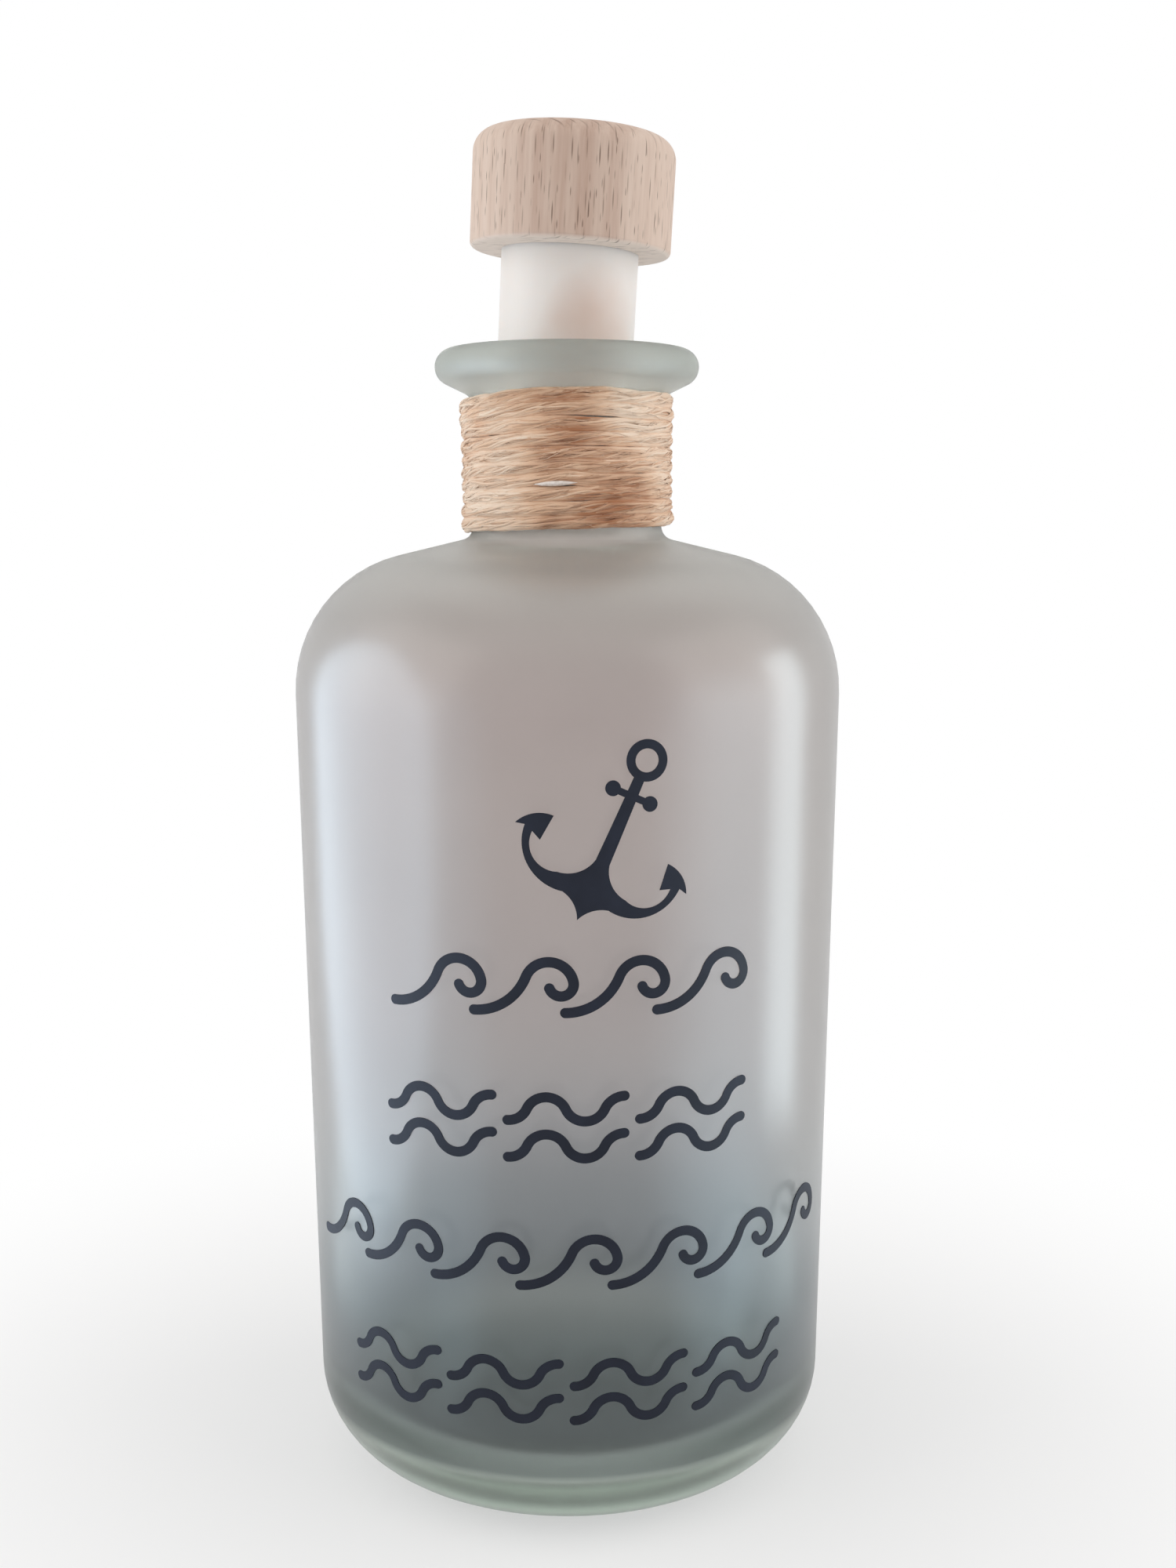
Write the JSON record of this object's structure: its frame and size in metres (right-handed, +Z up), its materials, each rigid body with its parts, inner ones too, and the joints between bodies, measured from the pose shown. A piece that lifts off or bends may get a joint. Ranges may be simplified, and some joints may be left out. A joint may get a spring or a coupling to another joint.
{
  "type": "stoppered bottle",
  "caption": "Frosted cylindrical glass bottle with a lift-out wooden-headed stopper, a twine-wound neck and dark anchor and wave transfers on its front.",
  "frame": {"origin": "middle of the bottle's base, on the surface that it stands on", "axes": "+Z up along the bottle's axis, the decorated front faces -Y, +X to the viewer's right"},
  "size_m": [0.08, 0.0801, 0.1965],
  "materials": {
    "frosted_glass": "acid-frosted, matt, faintly green where thick",
    "jute_twine": "fibrous, matt",
    "beech": "sanded, unvarnished",
    "milky_plug": "smooth, satin",
    "dark_film": "thin matt vinyl film"
  },
  "bodies": {
    "bottle": {"glass_bottle": "frosted_glass", "twine_winding": "jute_twine", "anchor": "dark_film", "wave_row_1": "dark_film", "wave_row_2": "dark_film", "wave_row_3": "dark_film", "wave_row_4": "dark_film"},
    "stopper": {"stopper_head": "beech", "stopper_plug": "milky_plug"}
  },
  "joints": [
    {"name": "stopper_lift", "type": "slide", "parent": "bottle", "child": "stopper", "axis": [0, 0, 1], "range_m": [-0.0118, 0.06]}
  ]
}
